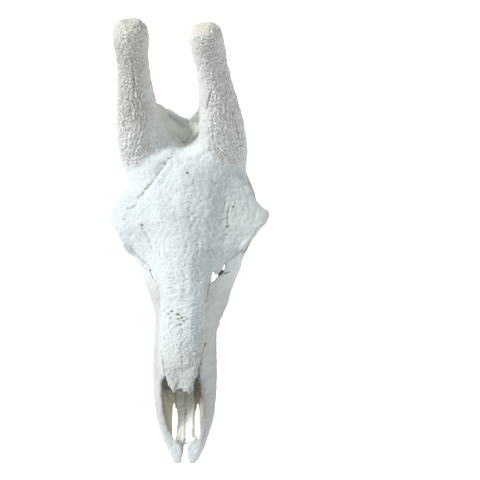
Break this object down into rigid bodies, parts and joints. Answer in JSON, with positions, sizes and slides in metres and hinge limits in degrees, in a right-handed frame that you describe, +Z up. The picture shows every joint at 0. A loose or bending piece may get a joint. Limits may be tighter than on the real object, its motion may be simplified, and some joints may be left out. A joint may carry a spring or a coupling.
{
  "type": "giraffe skull",
  "caption": "Bleached long-muzzled skull without its lower jaw, with two knobbed bony horns, ring eye sockets and rows of grinding teeth, lying on its teeth.",
  "frame": {"origin": "on the floor, under the middle of the skull's box", "axes": "+Z up, the muzzle points to -Y, +X is the animal's left"},
  "size_m": [0.2474, 0.5868, 0.3885],
  "materials": {
    "bone": "matte, sun-bleached porous bone"
  },
  "bodies": {
    "root": {"braincase": "bone", "frontal_bone": "bone", "lacrimal_left": "bone", "lacrimal_right": "bone", "maxilla_left": "bone", "maxilla_right": "bone", "nasal_bone_left": "bone", "nasal_bone_right": "bone", "occipital_bone": "bone", "ossicone_left": "bone", "ossicone_right": "bone", "palatine_bone": "bone", "premaxilla_left": "bone", "premaxilla_right": "bone", "temporal_left": "bone", "temporal_right": "bone", "vomer": "bone", "zygomatic_left": "bone", "zygomatic_right": "bone"}
  },
  "joints": []
}
